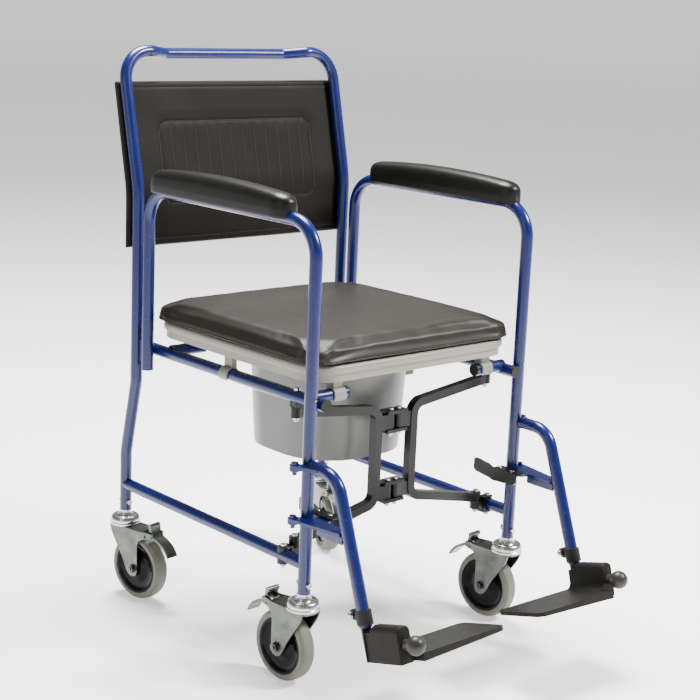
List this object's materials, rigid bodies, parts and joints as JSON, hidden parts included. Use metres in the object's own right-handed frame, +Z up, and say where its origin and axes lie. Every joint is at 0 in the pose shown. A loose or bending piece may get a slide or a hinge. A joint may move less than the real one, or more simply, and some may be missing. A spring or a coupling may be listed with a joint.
{
  "type": "wheeled commode chair",
  "caption": "Wheeled commode chair with plug-in tubular arms and backrest, clip-on padded seat, removable pan, braked castors and swing-away footrests.",
  "frame": {"origin": "on the floor, at the middle of the overall box", "axes": "+Z up; the sitter faces -Y; +X is on the right seen from the front"},
  "size_m": [0.564, 0.8826, 1.04],
  "materials": {
    "frame_paint": "gloss",
    "black_paint": "satin",
    "black_vinyl": "soft sheen",
    "arm_pad_black": "satin",
    "seat_plastic": "satin",
    "clip_plastic": "matte",
    "pan_plastic": "satin",
    "dark_plastic": "matte",
    "footplate_plastic": "textured",
    "ball_rubber": "satin",
    "castor_zinc": "zinc plated",
    "castor_chrome": "bright",
    "hub_black": "gloss",
    "tyre_grey": "matte",
    "bright_steel": "bright"
  },
  "bodies": {
    "frame": {"leg_front_left": "frame_paint", "leg_rear_left": "frame_paint", "arm_socket_left": "frame_paint", "rail_upper_left": "frame_paint", "rail_lower_left": "frame_paint", "fold_panel_left": "black_paint", "leg_front_right": "frame_paint", "leg_rear_right": "frame_paint", "arm_socket_right": "frame_paint", "rail_upper_right": "frame_paint", "rail_lower_right": "frame_paint", "fold_panel_right": "black_paint", "tube_end_plugs": "dark_plastic", "snap_buttons": "bright_steel", "middle_links": "black_paint", "upper_clamps": "black_paint", "lower_clamps": "black_paint", "frame_bolts": "bright_steel", "castor_heads": "castor_chrome", "footrest_lugs": "frame_paint"},
    "seat": {"seat_ring": "seat_plastic", "seat_clips": "clip_plastic"},
    "cushion": {"seat_cushion": "black_vinyl"},
    "pan": {"commode_pan": "pan_plastic"},
    "backrest": {"backrest_hoop": "frame_paint", "backrest_panel": "black_vinyl"},
    "arm_left": {"arm_hoop_left": "frame_paint", "arm_pad_left": "arm_pad_black"},
    "footrest_left": {"hanger_left": "frame_paint", "clamp_collar_left": "dark_plastic", "collar_bolt_left": "castor_chrome"},
    "latch_left": {"latch_lever_left": "black_paint"},
    "extension_left": {"footrest_extension_left": "black_paint", "ball_end_left": "ball_rubber"},
    "footplate_body_left": {"footplate_left": "footplate_plastic"},
    "arm_right": {"arm_hoop_right": "frame_paint", "arm_pad_right": "arm_pad_black"},
    "footrest_right": {"hanger_right": "frame_paint", "clamp_collar_right": "dark_plastic", "collar_bolt_right": "castor_chrome"},
    "latch_right": {"latch_lever_right": "black_paint"},
    "extension_right": {"footrest_extension_right": "black_paint", "ball_end_right": "ball_rubber"},
    "footplate_body_right": {"footplate_right": "footplate_plastic"},
    "swivel_front_left": {"castor_fork_front_left": "castor_zinc"},
    "wheel_front_left": {"castor_hub_front_left": "hub_black", "castor_tyre_front_left": "tyre_grey"},
    "brake_front_left": {"brake_pedal_front_left": "castor_zinc"},
    "swivel_front_right": {"castor_fork_front_right": "castor_zinc"},
    "wheel_front_right": {"castor_hub_front_right": "hub_black", "castor_tyre_front_right": "tyre_grey"},
    "brake_front_right": {"brake_pedal_front_right": "castor_zinc"},
    "swivel_rear_left": {"castor_fork_rear_left": "castor_zinc"},
    "wheel_rear_left": {"castor_hub_rear_left": "hub_black", "castor_tyre_rear_left": "tyre_grey"},
    "brake_rear_left": {"brake_pedal_rear_left": "castor_zinc"},
    "swivel_rear_right": {"castor_fork_rear_right": "castor_zinc"},
    "wheel_rear_right": {"castor_hub_rear_right": "hub_black", "castor_tyre_rear_right": "tyre_grey"},
    "brake_rear_right": {"brake_pedal_rear_right": "castor_zinc"}
  },
  "joints": [
    {"name": "swivel_front_left", "type": "hinge", "parent": "frame", "child": "swivel_front_left", "pos_m": [-0.2475, -0.15712, 0.14], "axis": [0, 0, 1], "continuous": true},
    {"name": "roll_front_left", "type": "hinge", "parent": "swivel_front_left", "child": "wheel_front_left", "pos_m": [-0.2497, -0.11518, 0.0625], "axis": [0.9986, 0.0523, 0], "continuous": true},
    {"name": "brake_front_left", "type": "hinge", "parent": "swivel_front_left", "child": "brake_front_left", "pos_m": [-0.25127, -0.08522, 0.132], "axis": [-0.9986, -0.0523, 0], "range_deg": [0, 8]},
    {"name": "swivel_front_right", "type": "hinge", "parent": "frame", "child": "swivel_front_right", "pos_m": [0.2475, -0.15712, 0.14], "axis": [0, 0, 1], "continuous": true},
    {"name": "roll_front_right", "type": "hinge", "parent": "swivel_front_right", "child": "wheel_front_right", "pos_m": [0.24384, -0.11528, 0.0625], "axis": [0.9962, 0.0872, 0], "continuous": true},
    {"name": "brake_front_right", "type": "hinge", "parent": "swivel_front_right", "child": "brake_front_right", "pos_m": [0.24122, -0.08539, 0.132], "axis": [-0.9962, -0.0872, 0], "range_deg": [0, 8]},
    {"name": "swivel_rear_left", "type": "hinge", "parent": "frame", "child": "swivel_rear_left", "pos_m": [-0.2475, 0.37888, 0.14], "axis": [0, 0, 1], "continuous": true},
    {"name": "roll_rear_left", "type": "hinge", "parent": "swivel_rear_left", "child": "wheel_rear_left", "pos_m": [-0.24021, 0.33752, 0.0625], "axis": [-0.9848, -0.1736, 0], "continuous": true},
    {"name": "brake_rear_left", "type": "hinge", "parent": "swivel_rear_left", "child": "brake_rear_left", "pos_m": [-0.235, 0.30797, 0.132], "axis": [0.9848, 0.1736, 0], "range_deg": [0, 8]},
    {"name": "swivel_rear_right", "type": "hinge", "parent": "frame", "child": "swivel_rear_right", "pos_m": [0.2475, 0.37888, 0.14], "axis": [0, 0, 1], "continuous": true},
    {"name": "roll_rear_right", "type": "hinge", "parent": "swivel_rear_right", "child": "wheel_rear_right", "pos_m": [0.23109, 0.34022, 0.0625], "axis": [-0.9205, 0.3907, 0], "continuous": true},
    {"name": "brake_rear_right", "type": "hinge", "parent": "swivel_rear_right", "child": "brake_rear_right", "pos_m": [0.21937, 0.3126, 0.132], "axis": [0.9205, -0.3907, 0], "range_deg": [0, 8]},
    {"name": "arm_lift_left", "type": "slide", "parent": "frame", "child": "arm_left", "axis": [0, 0, 1], "range_m": [0, 0.05]},
    {"name": "footrest_swing_left", "type": "hinge", "parent": "frame", "child": "footrest_left", "pos_m": [-0.273, -0.15212, 0.34], "axis": [0, 0, -1], "range_deg": [0, 90]},
    {"name": "latch_left", "type": "hinge", "parent": "footrest_left", "child": "latch_left", "pos_m": [-0.2195, -0.18362, 0.305], "axis": [0, 0, -1], "range_deg": [0, 12]},
    {"name": "footrest_height_left", "type": "slide", "parent": "footrest_left", "child": "extension_left", "axis": [0, -0.3462, -0.9382], "range_m": [0, 0.03]},
    {"name": "footplate_flip_left", "type": "hinge", "parent": "extension_left", "child": "footplate_body_left", "pos_m": [-0.245, -0.36512, 0.149], "axis": [0, -0.9613, 0.2756], "range_deg": [0, 90]},
    {"name": "arm_lift_right", "type": "slide", "parent": "frame", "child": "arm_right", "axis": [0, 0, 1], "range_m": [0, 0.05]},
    {"name": "footrest_swing_right", "type": "hinge", "parent": "frame", "child": "footrest_right", "pos_m": [0.273, -0.15212, 0.34], "axis": [0, 0, 1], "range_deg": [0, 90]},
    {"name": "latch_right", "type": "hinge", "parent": "footrest_right", "child": "latch_right", "pos_m": [0.2195, -0.18362, 0.305], "axis": [0, 0, 1], "range_deg": [0, 12]},
    {"name": "footrest_height_right", "type": "slide", "parent": "footrest_right", "child": "extension_right", "axis": [0, -0.3462, -0.9382], "range_m": [0, 0.03]},
    {"name": "footplate_flip_right", "type": "hinge", "parent": "extension_right", "child": "footplate_body_right", "pos_m": [0.245, -0.36512, 0.149], "axis": [0, 0.9613, -0.2756], "range_deg": [0, 90]},
    {"name": "backrest_lift", "type": "slide", "parent": "frame", "child": "backrest", "axis": [0, 0, 1], "range_m": [0, 0.05]},
    {"name": "seat_lift", "type": "slide", "parent": "frame", "child": "seat", "axis": [0, 0, 1], "range_m": [0, 0.08]},
    {"name": "cushion_lift", "type": "slide", "parent": "seat", "child": "cushion", "axis": [0, 0, 1], "range_m": [0, 0.1]},
    {"name": "pan_slide", "type": "slide", "parent": "seat", "child": "pan", "axis": [0, 1, 0], "range_m": [0, 0.25]}
  ]
}
